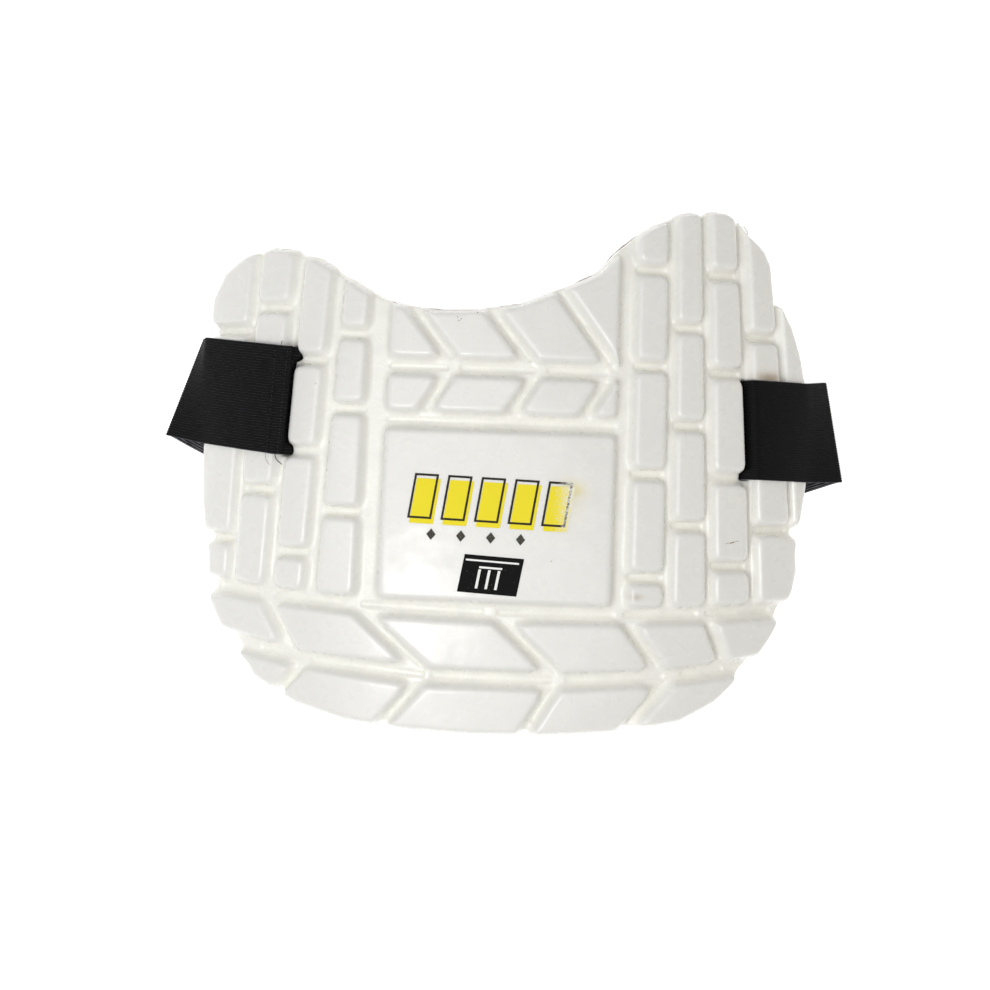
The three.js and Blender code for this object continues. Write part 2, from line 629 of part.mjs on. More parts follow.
// A ribbon of even thickness along a row of cross lines.
function ribbon(lines, thickness) {
  const middle = lines.map(({ lower, upper }) => lower.clone().lerp(upper, 0.5));
  const faceOf = (i) => {
    const way = middle[i + 1].clone().sub(middle[i]);
    const cross = lines[i].upper.clone().sub(lines[i].lower).add(lines[i + 1].upper).sub(lines[i + 1].lower);
    return way.cross(cross).normalize();
  };
  const faces = lines.slice(1).map((_, i) => faceOf(i));
  const sections = lines.map(({ lower, upper }, i) => {
    const [before, after] = [faces[Math.max(0, i - 1)], faces[Math.min(i, faces.length - 1)]];
    const normal = before.clone().add(after).normalize();
    const half = normal.multiplyScalar(thickness / 2 / normal.dot(before));
    const up = [upper.clone().add(half), upper.clone().sub(half)];
    const low = [lower.clone().sub(half), lower.clone().add(half)];
    return [...up.reverse(), ...low.reverse()];
  });
  return bar(sections);
}

function elasticStrap() {
  const { left, right } = STRAP_SIDES;
  const loop = [...frontRun(left), ...floorRun(), ...frontRun(right).reverse()];
  // The hemmed end lies on the stretch that comes out of the left slot.
  const slot = acrossGuard(left, 0);
  const lap = overBlocks + 0.9 * STRAP;
  const length = slotEnds(left, 0)[0].distanceTo(acrossGuard(left, 1).lower);
  const share = SEWN_END / length;
  const sewn = [
    raised(slot, 0.3 * STRAP, lap),
    raised(acrossGuard(left, share / 2), 0, lap),
    raised(acrossGuard(left, share), 0, lap),
    raised(acrossGuard(left, 1.4 * share), 0, overBlocks + 0.2 * STRAP),
  ];
  return ribbon(loop, STRAP).add(ribbon(sewn, STRAP));
}

function piece(name, body, finish) {
  const { vertProperties, triVerts } = body.getMesh();
  const geometry = new THREE.BufferGeometry();
  geometry.setAttribute("position", new THREE.BufferAttribute(vertProperties, 3));
  geometry.setIndex(new THREE.BufferAttribute(triVerts, 1));
  const mesh = new THREE.Mesh(geometry, new THREE.MeshStandardMaterial(finish));
  mesh.name = name;
  return mesh;
}

const group = new THREE.Group();
group.add(piece("foam_shell", foamShell(), FOAM_WHITE));
group.add(piece("lining", lining(), LINING_GREY));
group.add(piece("elastic_strap", elasticStrap(), ELASTIC_BLACK));

// The origin is the bottom centre of the whole guard.
const box = new THREE.Box3().setFromObject(group);
group.position.set(-(box.min.x + box.max.x) / 2, -(box.min.y + box.max.y) / 2, -box.min.z);

export default group;
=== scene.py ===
# %% [markdown]
# # A youth cricket chest guard, lying front up on its folded strap
# The real guard is moulded foam under a thin white film, with a cloth-faced pad behind it and one loop of
# wide black elastic. Blender gives it soft moulded edges, a ribbed strap and real surface finishes. The
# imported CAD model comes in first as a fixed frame, in metres, and every piece is placed by it.

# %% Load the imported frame
import math

import bpy
import numpy as np
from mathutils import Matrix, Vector, noise


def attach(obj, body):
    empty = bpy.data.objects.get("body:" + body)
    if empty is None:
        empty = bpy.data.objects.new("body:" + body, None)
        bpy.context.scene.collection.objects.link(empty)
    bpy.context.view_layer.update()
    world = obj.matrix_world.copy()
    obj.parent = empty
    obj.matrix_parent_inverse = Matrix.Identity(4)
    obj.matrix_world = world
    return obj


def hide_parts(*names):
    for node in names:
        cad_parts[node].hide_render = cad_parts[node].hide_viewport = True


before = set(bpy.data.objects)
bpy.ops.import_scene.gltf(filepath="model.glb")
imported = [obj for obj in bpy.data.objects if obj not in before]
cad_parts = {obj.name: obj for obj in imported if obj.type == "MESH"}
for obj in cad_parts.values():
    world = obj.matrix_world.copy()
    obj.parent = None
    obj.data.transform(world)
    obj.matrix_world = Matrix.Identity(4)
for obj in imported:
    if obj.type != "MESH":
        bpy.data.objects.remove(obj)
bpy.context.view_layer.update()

# %% [markdown]
# ## Camera
# The photo looks straight down on the guard from about 1.2 m, with the guard turned about 2 degrees
# clockwise. An 85 mm lens on a 36 mm sensor at that distance gives the same mild perspective. The
# standard view keeps white paper white, where the filmic one would grey it.

# %% Camera over the guard
MM = 0.001
CAMERA_X, CAMERA_Y = -4.1, -13.9
CAMERA_HEIGHT = 1169
PANEL_TOP = 66.98
GUARD_TURN = 2

bpy.ops.object.select_all(action="DESELECT")
bpy.ops.object.camera_add(
    location=(CAMERA_X * MM, CAMERA_Y * MM, (PANEL_TOP + CAMERA_HEIGHT) * MM),
    rotation=(0, 0, math.radians(GUARD_TURN)),
)
camera = bpy.context.object
camera.name = "photo_camera"
camera.data.lens = 85
camera.data.sensor_width = 36
bpy.context.scene.camera = camera
bpy.context.scene.view_settings.view_transform = "Standard"
print("camera at", [round(v, 4) for v in camera.location])

# %% [markdown]
# ## The chest curve
# The foam is easiest to work on when it is laid out flat, as the mould was drawn: s across the chest, y up
# it and h out of it, all in millimetres. `bend` gives the place of such a point on the real curve, and
# `unbend` finds the flat place of a point on the guard, by a few steps of Newton's method.

# %% Bend and unbend
CENTRE_RADIUS, CENTRE_REACH = 400, 57
SIDE_RADIUS, CROWN_RADIUS = 180, 850
ORIGIN = np.array([0.755, -3.016, 61.482])


def chest_curve(s):
    far = np.maximum(0, np.abs(s) - CENTRE_REACH)
    first = (np.abs(s) - far) / CENTRE_RADIUS
    tilt = first + far / SIDE_RADIUS
    x = CENTRE_RADIUS * np.sin(first) + SIDE_RADIUS * (np.sin(tilt) - np.sin(first))
    drop = CENTRE_RADIUS * (1 - np.cos(first)) + SIDE_RADIUS * (np.cos(first) - np.cos(tilt))
    return np.sign(s) * x, drop, np.sign(s) * tilt


def bend(flat):
    s, y, h = np.asarray(flat, float).T
    x, drop, tilt = chest_curve(s)
    normal = np.stack([np.sin(tilt), np.cos(tilt) * y / CROWN_RADIUS, np.cos(tilt)], axis=1)
    normal /= np.linalg.norm(normal, axis=1, keepdims=True)
    foot = np.stack([x, y, -drop - y * y / (2 * CROWN_RADIUS)], axis=1)
    return foot + normal * h[:, None] + ORIGIN


def unbend(points):
    flat = points - ORIGIN
    flat[:, 0] *= 1.05  # a first guess: the curve is a little longer than it is wide
    flat[:, 2] = 0
    step = 0.01
    for _ in range(12):
        here = bend(flat)
        slopes = [(bend(flat + step * axis) - here) / step for axis in np.eye(3)]
        flat += np.linalg.solve(np.stack(slopes, axis=2), (points - here)[..., None])[..., 0]
    return flat


places = np.array([[-160, 40, 5], [0, -120, 5], [160, 40, 5]])
print("unbend misses by", np.abs(unbend(bend(places)) - places).max())

# %% [markdown]
# ## Small helpers
# Vertices are read and written as one array, which is quick for a fine mesh. `only` selects one object, so
# that an operator can't touch the CAD nodes, and `finish_modifiers` bakes what a modifier does. A padded
# piece starts as a `solid_copy` of its CAD node. It is `rounded` by a voxel remesh and a smooth modifier
# while it lies flat, and `bent_back` at the end.

# %% Helpers for meshes
def only_none():
    bpy.ops.object.select_all(action="DESELECT")


def only(piece):
    only_none()
    piece.select_set(True)
    bpy.context.view_layer.objects.active = piece


def vertices(piece):
    values = np.empty(3 * len(piece.data.vertices))
    piece.data.vertices.foreach_get("co", values)
    return values.reshape(-1, 3)


def move_vertices(piece, places):
    piece.data.vertices.foreach_set("co", np.asarray(places, float).ravel())
    piece.data.update()


def finish_modifiers(piece):
    only(piece)
    for modifier in list(piece.modifiers):
        bpy.ops.object.modifier_apply(modifier=modifier.name)


def ball(radius, segments, rings):
    only_none()
    bpy.ops.mesh.primitive_uv_sphere_add(segments=segments, ring_count=rings, radius=radius)
    return bpy.context.object


def joined(pieces, name):
    only_none()
    for piece in pieces:
        piece.select_set(True)
    bpy.context.view_layer.objects.active = pieces[0]
    bpy.ops.object.join()
    bpy.context.object.name = name
    bpy.context.object.data.materials.clear()
    return bpy.context.object


def solid_copy(node, name):
    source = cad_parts[node]
    piece = bpy.data.objects.new(name, source.data.copy())
    bpy.context.scene.collection.objects.link(piece)
    piece.data.materials.clear()
    only(piece)
    bpy.ops.object.mode_set(mode="EDIT")
    bpy.ops.mesh.select_all(action="SELECT")
    bpy.ops.mesh.remove_doubles(threshold=0.002 * MM)
    bpy.ops.object.mode_set(mode="OBJECT")
    print(name, len(piece.data.vertices), "vertices after the merge")
    return piece


def rounded(piece, voxel, passes):
    remesh = piece.modifiers.new("remesh", "REMESH")
    remesh.mode = "VOXEL"
    remesh.voxel_size = voxel
    soften = piece.modifiers.new("soften", "SMOOTH")
    soften.factor = 0.5
    soften.iterations = passes
    finish_modifiers(piece)
    print(piece.name, len(piece.data.polygons), "faces")


def bent_back(piece, flat):
    move_vertices(piece, bend(flat) * MM)
    only(piece)
    bpy.ops.object.shade_smooth()


# %% [markdown]
# ## Foam shell
# The real shell is foam pressed in a hot mould with a film over it, so every edge is round and the film
# lies in soft fillets. A copy of the faceted CAD shell is laid out flat, and each vertex near a level of
# the mould is set exactly on it. Beside the right shoulder one block of the CAD runs out in a spike past
# the rim, which the film would never follow, so that spike is drawn in to a slanted line.

# %% Shell laid out flat
BASE, BLOCK = 7.5, 5.5
LEVELS = ((0, 0.74), (BLOCK, 0.5), (-BASE, 0.45))  # a level, and how far off it a vertex may be
SPIKE_S, SPIKE_Y = 124.8, 127.6
SPIKE_START, SPIKE_END = -4.4, 5
LEFT_FALL, RIGHT_FALL, WALL_LEAN = 0.6, 0.506, 0.38

shell = solid_copy("foam_shell", "moulded_foam")
flat = unbend(vertices(shell) / MM)
for level, near in LEVELS:
    flat[np.abs(flat[:, 2] - level) < near, 2] = level

over = flat[:, 0] - SPIKE_S
fall = np.where(over > 0, RIGHT_FALL, LEFT_FALL) * over
highest = SPIKE_Y - fall + WALL_LEAN * (BLOCK - flat[:, 2])
spike = (over > SPIKE_START) & (over < SPIKE_END) & (flat[:, 1] > highest)
flat[spike, 1] = highest[spike]
print(spike.sum(), "vertices of the spike drawn in")
move_vertices(shell, flat)
print("flat shell", flat.min(axis=0).round(1), flat.max(axis=0).round(1))

# %% [markdown]
# The mould pressed a round channel into the floor of each groove, and that channel catches the light as a
# bright and a dark line. The CAD solid has it as a plain notch, so its lowest edges say where each one
# runs. A ball is stretched along each such edge, and a Boolean modifier cuts all of them out. The
# channels that run across the chest are the wider ones.

# %% Where the channels run
CHANNEL_DEPTH = 1.1
SHORTEST_CHANNEL = 5
deep = np.abs(flat[:, 2] + CHANNEL_DEPTH) < 0.03
edges = np.array([edge.vertices[:] for edge in shell.data.edges])
edges = edges[deep[edges].all(axis=1)]
channels = [(Vector(flat[a]), Vector(flat[b])) for a, b in edges]
channels = [(a, b) for a, b in channels if (a - b).length > SHORTEST_CHANNEL]
print(len(channels), "channel lines,", round(sum((a - b).length for a, b in channels)), "mm in all")

# %% Round channels cut into the grooves
WIDE, NARROW = (2.1, 0.5), (1.4, 0.3)  # a ball's radius, and the height of its centre
STEEPEST_WIDE = 0.35


def channel_cutter(a, b):
    way = b - a
    radius, height = WIDE if abs(way.y) < STEEPEST_WIDE * abs(way.x) else NARROW
    piece = ball(radius, 16, 10)
    places = vertices(piece)[:, [2, 1, 0]]
    places[:, 0] += np.sign(places[:, 0]) * max(0, way.length / 2 - 0.6 * radius)
    turn = math.atan2(way.y, way.x)
    middle = (a + b) / 2
    x = places[:, 0] * math.cos(turn) - places[:, 1] * math.sin(turn) + middle.x
    y = places[:, 0] * math.sin(turn) + places[:, 1] * math.cos(turn) + middle.y
    move_vertices(piece, np.stack([x, y, places[:, 2] + height], axis=1))
    piece.data.flip_normals()
    return piece


cutter = joined([channel_cutter(a, b) for a, b in channels], "channel_cutter")
cut = shell.modifiers.new("channels", "BOOLEAN")
cut.operation = "DIFFERENCE"
cut.solver = "EXACT"
cut.use_self = True
cut.object = cutter
finish_modifiers(shell)
bpy.data.objects.remove(cutter)
print("shell with channels", len(shell.data.polygons), "faces")

# %% Rounded as film over foam
VOXEL = 0.8
rounded(shell, VOXEL, 4)

# %% [markdown]
# The thin lip under the rim is only a few voxels thick, so it comes out ragged, and the film lies in a
# wider fillet at a block's foot than at its top edge. More smoothing on those two alone evens and widens
# them.

# %% Even rim and soft feet
LIP_TOP, LIP_FADE = -1.4, 2
FOOT_LOW, FOOT_HIGH, FOOT_SHARE = 0.3, 2.2, 0.8

h = vertices(shell)[:, 2]
share = np.clip((LIP_TOP - h) / LIP_FADE, 0, 1)
share[(h > FOOT_LOW) & (h < FOOT_HIGH)] = FOOT_SHARE
share = np.round(share, 1)
rim_group = shell.vertex_groups.new(name="rim")
for weight in np.unique(share[share > 0]):
    rim_group.add(np.nonzero(share == weight)[0].tolist(), float(weight), "REPLACE")
even = shell.modifiers.new("even_rim", "SMOOTH")
even.factor = 0.5
even.iterations = 8
even.vertex_group = "rim"
finish_modifiers(shell)
print("smoothed again", int((share > 0).sum()), "vertices")

# %% [markdown]
# The film is never quite flat: it ripples by a tenth of a millimetre over the blocks and creases finely
# where it was drawn into the grooves, which is what breaks up its highlights. These are vertex moves along
# h, before the shell is bent. Three attributes are kept for the film's colour: how high a place lies
# between groove and block top, which paints the grooves lighter against their shade, how much painted
# shadow of the strap and real grey smudge it has, and how yellowed it is.

# %% Ripples, then the curve of the chest
RIPPLES = ((0.16, 14, 3.7), (0.05, 5, 9.1))  # height, length and the level of the noise
CRINKLE_HEIGHT, CRINKLE_LENGTH = 0.09, 2.6


def ripple(s, y):
    return sum(high * noise.noise(Vector((s / long, y / long, at))) for high, long, at in RIPPLES)


def spot(flat, s, y, wide, tall):
    return np.exp(-(((flat[:, 0] - s) / wide) ** 2) - ((flat[:, 1] - y) / tall) ** 2)


def keep_attribute(piece, name, values):
    layer = piece.data.attributes.new(name, "FLOAT", "POINT")
    layer.data.foreach_set("value", np.clip(values, 0, 1))


flat = vertices(shell)
wavy = np.array([ripple(s, y) for s, y, _ in flat])
crinkle = np.array([
    noise.noise(Vector((s / CRINKLE_LENGTH, y / CRINKLE_LENGTH, 1.3))) for s, y, _ in flat
])
outer = np.clip((flat[:, 2] + 3) / 3, 0, 1)
in_groove = outer * np.clip((3 - flat[:, 2]) / 2, 0, 1)
# Painted shadow of the strap: a brown-grey band along its upper edge on the right. The second, weaker spot
# lower on the right is a real grey smudge.
strap_shadow_and_smudge = spot(flat, 137.5, 54, 8, 2.8) + 0.5 * spot(flat, 67, -59.5, 3.5, 1.6)
yellowed = 0.8 * spot(flat, 33, -7, 6, 3.5) + 0.25 * spot(flat, 31, -13, 8, 11)
keep_attribute(shell, "height", (flat[:, 2] + CHANNEL_DEPTH) / (BLOCK + CHANNEL_DEPTH))
keep_attribute(shell, "strap_shadow_and_smudge", strap_shadow_and_smudge)
keep_attribute(shell, "yellowed", yellowed)
flat[:, 2] += outer * wavy + CRINKLE_HEIGHT * in_groove * crinkle
bent_back(shell, flat)
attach(shell, "root")
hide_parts("foam_shell")
print("shell heights", flat[:, 2].min().round(2), flat[:, 2].max().round(2))

# %% [markdown]
# ## Lining
# Behind the foam sits a thin pad faced with knitted cloth. It is made as the shell is: a flat copy of its
# CAD solid, remeshed and smoothed so that its edge is round, and bent back. Along the neck the cloth's
# edge was cut by hand, so it peeks out here and there by about a millimetre.

# %% Lining pad
LINING_TOP, LINING_BACK = -7.8, -10.3
NECK_CENTRE = np.array([-10, 160])
NECK_LOW, NECK_FADE, NECK_HALF = 60, 15, 92
UNEVEN_LENGTH = 15

lining = solid_copy("lining", "cloth_lining")
flat = unbend(vertices(lining) / MM)
for level in (LINING_TOP, LINING_BACK):
    flat[np.abs(flat[:, 2] - level) < 0.9, 2] = level
move_vertices(lining, flat)
rounded(lining, 1.25, 2)

flat = vertices(lining)
to_neck = NECK_CENTRE - flat[:, :2]
to_neck /= np.linalg.norm(to_neck, axis=1, keepdims=True)
uneven = np.array([
    0.3 + 2.2 * noise.noise(Vector((s / UNEVEN_LENGTH, y / UNEVEN_LENGTH, 5.2))) for s, y, _ in flat
])
at_neck = np.clip((flat[:, 1] - NECK_LOW) / NECK_FADE, 0, 1) * (np.abs(flat[:, 0]) < NECK_HALF)
peek = np.clip(uneven, 0, 1) * at_neck
flat[:, :2] += to_neck * peek[:, None]
bent_back(lining, flat)
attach(lining, "root")
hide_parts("lining")
print("cloth_lining peeks out by up to", peek.max().round(2), "mm")

# %% [markdown]
# ## Elastic strap
# The strap is one length of woven elastic, 51 mm wide, with forty ribs along it. It is anchored behind
# both slots, runs out over the blocks, folds at a slanted crease beside each edge, and comes back on the
# floor under the guard. Its way is given by cross lines, each a lower and an upper point, and cutting the
# corners of that row a few times gives a smooth band that never swings out beyond them.
#
# Each side has its slot's `middle`, `seam` and rim and crease lines as shares of the guard's half sizes,
# and `rise` says how the band climbs out of the slot: how far over the seam, and how high.

# %% Cross lines of the strap
HALF_WIDTH, HALF_HEIGHT = 170.5, 135
STRAP_WIDTH, STRAP = 51, 1.6
FIT_GAP, CHORD = 0.3, 0.38
SEAM_LOW, SEAM_HIGH = -0.444, 0.74
OVER_BLOCKS = BLOCK + 2 * FIT_GAP + STRAP / 2
BEHIND = LINING_BACK - FIT_GAP - 2 * CHORD - STRAP / 2
PLAN_HALF = chest_curve(np.array([HALF_WIDTH]))[0][0]
FOLD_TOP, FOLD_MIDDLE, FOLD_BOTTOM = 3.0, 1.9, 0.8

LEFT = {
    "out": -1, "middle": 0.247, "width": 1.065, "flares": (1, 1), "seam": (-0.645, -0.711),
    "rise": ((0.8, -4), (0.8, 1.5), (1.5, 4), (1.8, 5.6), (0.9, 6.7), (-2.9, OVER_BLOCKS)),
    "rim": ((-0.976, 0.486), (-0.982, 0.083)), "crease": ((-1.022, 0.488), (-1.137, 0.109)),
}
RIGHT = {
    "out": 1, "middle": 0.199, "width": 0.985, "flares": (1, 0), "seam": (0.711, 0.785),
    "rise": ((0, -4), (0, 2), (0.9, 5.4), (2.8, OVER_BLOCKS)),
    "rim": ((0.953, 0.387), (0.974, 0.011)), "crease": ((1.062, 0.401), (1.127, 0.017)),
}


def slot_line(side):
    upper, lower = side["seam"]
    ys = [side["middle"] * HALF_HEIGHT + end * side["width"] * STRAP_WIDTH / 2 for end in (-1, 1)]
    share = [(y / HALF_HEIGHT - SEAM_LOW) / (SEAM_HIGH - SEAM_LOW) for y in ys]
    return np.array([[(lower + (upper - lower) * t) * HALF_WIDTH, y] for t, y in zip(share, ys)])


def across(side, t):
    (us, uy), (ls, ly) = side["rim"]
    rim = np.array([[ls * HALF_WIDTH, ly * HALF_HEIGHT], [us * HALF_WIDTH, uy * HALF_HEIGHT]])
    return slot_line(side) * (1 - t) + rim * t


def raised(line, out, height):
    return bend([[s + out, y, height] for s, y in line])


def crease(side, height, back):
    (ux, uy), (lx, ly) = side["crease"]
    shift = side["out"] * back
    return np.array([
        [lx * PLAN_HALF - shift + ORIGIN[0], ly * HALF_HEIGHT + ORIGIN[1], height],
        [ux * PLAN_HALF - shift + ORIGIN[0], uy * HALF_HEIGHT + ORIGIN[1], height],
    ])


def front_run(side):
    slot, out = slot_line(side), side["out"]
    rim = raised(across(side, 1), 0, OVER_BLOCKS)
    fold = crease(side, FOLD_TOP, 0)
    rows = [raised(slot, -out * back, BEHIND) for back in (25, 16, 8, 2)]
    rows += [raised(slot, side["rise"][0][0], h) for h in (BEHIND, BEHIND + 3)]
    rows += [raised(slot, over_seam, h) for over_seam, h in side["rise"]]
    rows += [raised(across(side, t), 0, OVER_BLOCKS) for t in (0.17, 0.3, 0.45, 0.6, 0.75, 0.88)]
    rows += [rim * (1 - t) + fold * t for t in (0, 0.3, 0.6, 0.86, 1)]
    return rows + [crease(side, FOLD_MIDDLE, -0.9)]


print("slot lines", slot_line(LEFT).round(1).tolist(), slot_line(RIGHT).round(1).tolist())

# %% [markdown]
# On the floor the strap bends in its own plane, from one crease to the other. Each crease turns its way
# about itself, as a folded ribbon does, so the run leaves both creases aslant and bows towards the waist.
# Close to a crease the cross lines still turn towards it.

# %% The run on the floor
FLOOR_ROWS = 34
BOW = 0.36
TURNING = 14


def folded(side):
    start, end = raised(across(side, 0), 0, 0), raised(across(side, 1), 0, 0)
    way = end.mean(axis=0) - start.mean(axis=0)
    way[2] = 0
    lower, upper = crease(side, 0, 0)
    axis = (upper - lower) / np.linalg.norm(upper - lower)
    turned = 2 * way.dot(axis) * axis - way
    return turned / np.linalg.norm(turned)


def floor_run():
    start, end = crease(LEFT, FOLD_BOTTOM, 1), crease(RIGHT, FOLD_BOTTOM, 1)
    a, b = start.mean(axis=0), end.mean(axis=0)
    pull = BOW * np.linalg.norm(b - a)
    c, d = a + folded(LEFT) * pull, b + folded(RIGHT) * pull
    rows = [start]
    for t in np.linspace(0, 1, FLOOR_ROWS + 2)[1:-1]:
        p = a * (1 - t) ** 3 + c * 3 * t * (1 - t) ** 2 + d * 3 * t * t * (1 - t) + b * t ** 3
        way = (c - a) * (1 - t) ** 2 + (d - c) * 2 * t * (1 - t) + (b - d) * t * t
        half = np.array([-way[1], way[0], 0]) * (STRAP_WIDTH / 2 / np.linalg.norm(way))
        line = np.array([p - half, p + half])
        near = max(0, 1 - TURNING * t, 1 - TURNING * (1 - t))
        side = start if t < 0.5 else end
        rows.append(line * (1 - near) + (side + p - side.mean(axis=0)) * near)
    return rows + [end]


def corners_cut(rows):
    rows = np.array(rows)
    first, second = rows[:-1], rows[1:]
    pairs = np.stack([0.75 * first + 0.25 * second, 0.25 * first + 0.75 * second], axis=1)
    return np.concatenate([rows[:1], pairs.reshape(-1, 2, 3), rows[-1:]])


strap_rows = corners_cut(corners_cut(front_run(LEFT) + floor_run() + front_run(RIGHT)[::-1]))
length = np.linalg.norm(np.diff(strap_rows.mean(axis=1), axis=0), axis=1).sum()
print("strap", len(strap_rows), "cross lines,", round(length), "mm long")

# %% [markdown]
# The ribs are real: a grid is laid along the cross lines and its vertices are moved up and down in forty
# waves across the width, as the rubber cords under the yarn do. Solidify then gives it the thickness.
# Its UV map holds millimetres along and across, which the weave in its material follows.

# %% Ribbed band from a grid
RIBS, FACES_PER_RIB = 40, 4
RIB_HEIGHT = 0.2
WEB = 1.1


def band(name, rows):
    count, wide = len(rows), FACES_PER_RIB * RIBS + 1
    only_none()
    bpy.ops.mesh.primitive_grid_add(x_subdivisions=wide - 1, y_subdivisions=count - 1, size=2)
    piece = bpy.context.object
    piece.name = name
    grid = vertices(piece)
    i = np.round((grid[:, 1] + 1) / 2 * (count - 1)).astype(int)
    t = (grid[:, 0] + 1) / 2
    places = rows[i, 0] * (1 - t)[:, None] + rows[i, 1] * t[:, None]
    centre = rows.mean(axis=1)
    normal = np.cross(np.gradient(centre, axis=0), rows[:, 1] - rows[:, 0])
    normal /= np.linalg.norm(normal, axis=1, keepdims=True)
    wave = RIB_HEIGHT * np.cos(2 * math.pi * RIBS * t)
    move_vertices(piece, (places + normal[i] * wave[:, None]) * MM)
    run = np.concatenate([[0], np.cumsum(np.linalg.norm(np.diff(centre, axis=0), axis=1))])
    layer = piece.data.uv_layers[0] if piece.data.uv_layers else piece.data.uv_layers.new()
    loops = np.empty(len(piece.data.loops), int)
    piece.data.loops.foreach_get("vertex_index", loops)
    layer.data.foreach_set("uv", np.stack([run[i], t * STRAP_WIDTH], axis=1)[loops].ravel())
    solidify = piece.modifiers.new("thickness", "SOLIDIFY")
    solidify.thickness = WEB * MM
    solidify.offset = 0
    finish_modifiers(piece)
    only(piece)
    bpy.ops.object.shade_smooth_by_angle(angle=math.radians(50))
    print(name, len(piece.data.polygons), "faces")
    return piece


strap = band("elastic_band", strap_rows)

# %% [markdown]
# The band is wider than its slots, so its edges curl towards the middle of the chest where a cross groove
# leaves them room. That is a vertex move too: the nearer a vertex is to the end of a slot, the further it
# goes.

# %% Edges curled into the cross grooves
CURL, CURL_REACH, CURL_FULL = 3.2, 7.0, 3
IN_SLOT = 3.2
CURL_LOW, LOW_FADE = -10.5, 3
CURL_HIGH, HIGH_FADE = 6.4, 3.5


def curl_edges(piece, side):
    places = vertices(piece) / MM
    lower, upper = raised(slot_line(side), 0, 0)
    middle = (lower + upper) / 2
    close = np.linalg.norm(places - middle, axis=1) < np.linalg.norm(upper - lower) / 2 + 8
    flat = unbend(places[close])
    (s0, y0), (s1, y1) = slot_line(side)
    seam = s0 + (s1 - s0) * (flat[:, 1] - y0) / (y1 - y0)
    in_slot = (np.abs(flat[:, 0] - seam) < IN_SLOT) & (flat[:, 2] > CURL_LOW)
    push = np.zeros(len(flat))
    for flare, depth in zip(side["flares"], (flat[:, 1] - y0, y1 - flat[:, 1])):
        share = np.clip((CURL_REACH - depth) / (CURL_REACH - CURL_FULL), 0, 1)
        push += flare * share * share * (3 - 2 * share)
    fade_in = np.clip((flat[:, 2] - CURL_LOW) / LOW_FADE, 0, 1)
    push *= in_slot * fade_in * np.clip((CURL_HIGH - flat[:, 2]) / HIGH_FADE, 0, 1)
    flat[:, 0] -= side["out"] * CURL * push
    places[close] = bend(flat)
    move_vertices(piece, places * MM)
    return int((push > 0.5).sum())


print("curled vertices", curl_edges(strap, LEFT), curl_edges(strap, RIGHT))
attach(strap, "root")
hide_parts("elastic_strap")

# %% [markdown]
# ## Hemmed end
# At the left slot the strap's end is folded under and sewn down on the stretch that comes out, so the band
# is twice as thick there. Its shape is a list of steps from the slot outwards: how far a cross line lies
# towards the slot or, below nought, towards the rim, and how high it lies over the band.

# %% Hemmed end on top of the strap
HEM_SHAPE = (
    (2.7, 0.75), (2.95, 1.3), (2.5, 1.75), (1.9, 1.7), (1.3, 1.45), (0.6, 1.66), (-4, 1.66), (-5, 1.4),
    (-6, 1.66), (-9, 1.62), (-15, 1.6), (-20, 1.6), (-24, 1.5),
)
slot_to_rim = np.linalg.norm(across(LEFT, 1)[0] - slot_line(LEFT)[0])


def hem_line(out):
    return across(LEFT, max(0, -out) / slot_to_rim) + [max(0, out), 0]


hem_rows = [raised(hem_line(out), 0, OVER_BLOCKS + height) for out, height in HEM_SHAPE]
hem = band("hemmed_end", corners_cut(corners_cut(hem_rows)))
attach(hem, "root")

# %% [markdown]
# Black polyester thread holds the hem in two rows, one on its folded edge and one further out. A stitch is
# a small stretched ball, made once for each place and laid along the row, half sunk between the ribs.

# %% Stitches
THREAD = 0.5
STITCH, STITCH_PITCH = 1.5, 2.3
STITCHED_AT = (1.4, -5)
HEM_TOP = OVER_BLOCKS + 1.45 + WEB / 2 + RIB_HEIGHT


def stitch_row(out):
    low, high = hem_line(out)
    way = (high - low) / np.linalg.norm(high - low)
    side_way = np.array([way[1], -way[0]])
    stitches = []
    for k in range(int(np.linalg.norm(high - low) / STITCH_PITCH)):
        stitch = ball(1, 6, 5)
        places = vertices(stitch)
        along = places[:, 2] * STITCH / 2 + (k + 0.5) * STITCH_PITCH
        plan = low + along[:, None] * way + (places[:, 0] * THREAD / 2)[:, None] * side_way
        move_vertices(stitch, bend(np.column_stack([plan, HEM_TOP + places[:, 1] * THREAD / 2])) * MM)
        stitches.append(stitch)
    return stitches


# %% [markdown]
# Cut ends of the same thread stick out at the strap's edges. Each is a fine tube along a few flat points.

# %% Loose thread ends
def loose_end(points, thick):
    line = bpy.data.curves.new("loose_end", "CURVE")
    line.dimensions = "3D"
    line.bevel_depth = thick / 2 * MM
    line.bevel_resolution = 1
    line.use_fill_caps = True
    spline = line.splines.new("NURBS")
    spline.points.add(len(points) - 1)
    for point, place in zip(spline.points, bend(points) * MM):
        point.co = (*place, 1)
    spline.order_u = 3
    spline.use_endpoint_u = True
    spline.resolution_u = 5
    tube = bpy.data.objects.new("loose_end", line)
    bpy.context.scene.collection.objects.link(tube)
    only(tube)
    bpy.ops.object.convert(target="MESH")
    bpy.ops.object.mode_set(mode="EDIT")
    bpy.ops.mesh.select_all(action="SELECT")
    bpy.ops.mesh.remove_doubles(threshold=0.001 * MM)
    bpy.ops.mesh.normals_make_consistent(inside=False)
    bpy.ops.object.mode_set(mode="OBJECT")
    return tube


